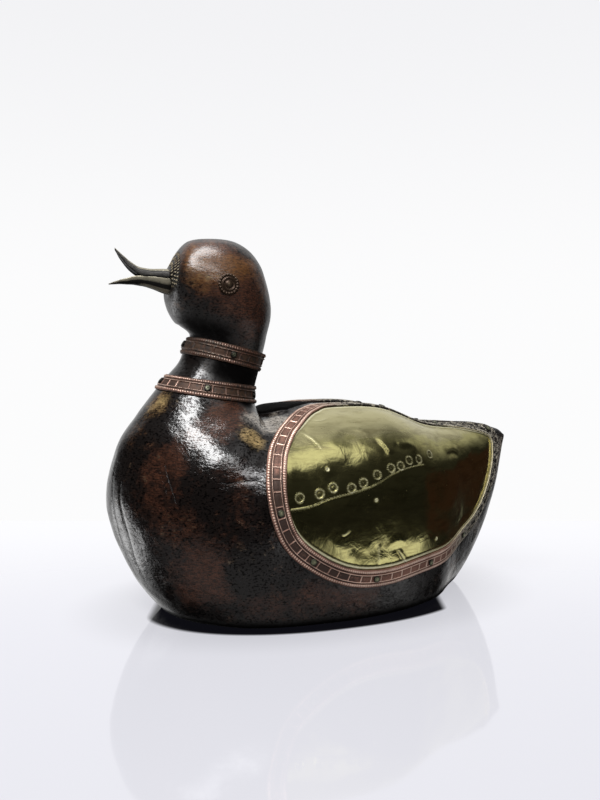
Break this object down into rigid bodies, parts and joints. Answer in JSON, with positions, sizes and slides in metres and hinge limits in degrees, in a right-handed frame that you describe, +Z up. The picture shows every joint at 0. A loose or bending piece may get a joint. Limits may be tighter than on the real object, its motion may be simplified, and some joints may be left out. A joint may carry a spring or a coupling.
{
  "type": "carved wooden duck with metal wings",
  "caption": "Seated duck carved in dark stained wood, with brass sheet wings, embossed copper strips held by nails, stamped metal eyes and an open metal beak.",
  "frame": {"origin": "centre of the bounding box at the floor, under the flat base", "axes": "+Z up, the duck faces -Y, its left side is +X"},
  "size_m": [0.1608, 0.3101, 0.2547],
  "materials": {
    "stained_wood": "dark red-brown stain, glossy varnish, worn",
    "brass": "thin sheet, lightly tarnished, glossy",
    "copper": "embossed copper strip, darkened in its hollows",
    "dark_metal": "blackened, worn lighter at the edges"
  },
  "bodies": {
    "root": {"carved_duck": "stained_wood", "upper_beak": "dark_metal", "lower_beak": "dark_metal", "left_wing_sheet": "brass", "right_wing_sheet": "brass", "left_wing_border": "copper", "right_wing_border": "copper", "left_wing_nail_1": "brass", "left_wing_nail_2": "brass", "left_wing_nail_3": "brass", "left_wing_nail_4": "brass", "left_wing_nail_5": "brass", "left_wing_nail_6": "brass", "left_wing_nail_7": "brass", "left_wing_nail_8": "brass", "left_wing_nail_9": "brass", "right_wing_nail_1": "brass", "right_wing_nail_2": "brass", "right_wing_nail_3": "brass", "right_wing_nail_4": "brass", "right_wing_nail_5": "brass", "right_wing_nail_6": "brass", "right_wing_nail_7": "brass", "right_wing_nail_8": "brass", "right_wing_nail_9": "brass", "left_eye": "dark_metal", "right_eye": "dark_metal", "lower_neck_band": "copper", "upper_neck_band": "copper", "lower_neck_nail_1": "brass", "lower_neck_nail_2": "brass", "lower_neck_nail_3": "brass", "lower_neck_nail_4": "brass", "lower_neck_nail_5": "brass", "upper_neck_nail_1": "brass", "upper_neck_nail_2": "brass", "upper_neck_nail_3": "brass", "upper_neck_nail_4": "brass"}
  },
  "joints": []
}
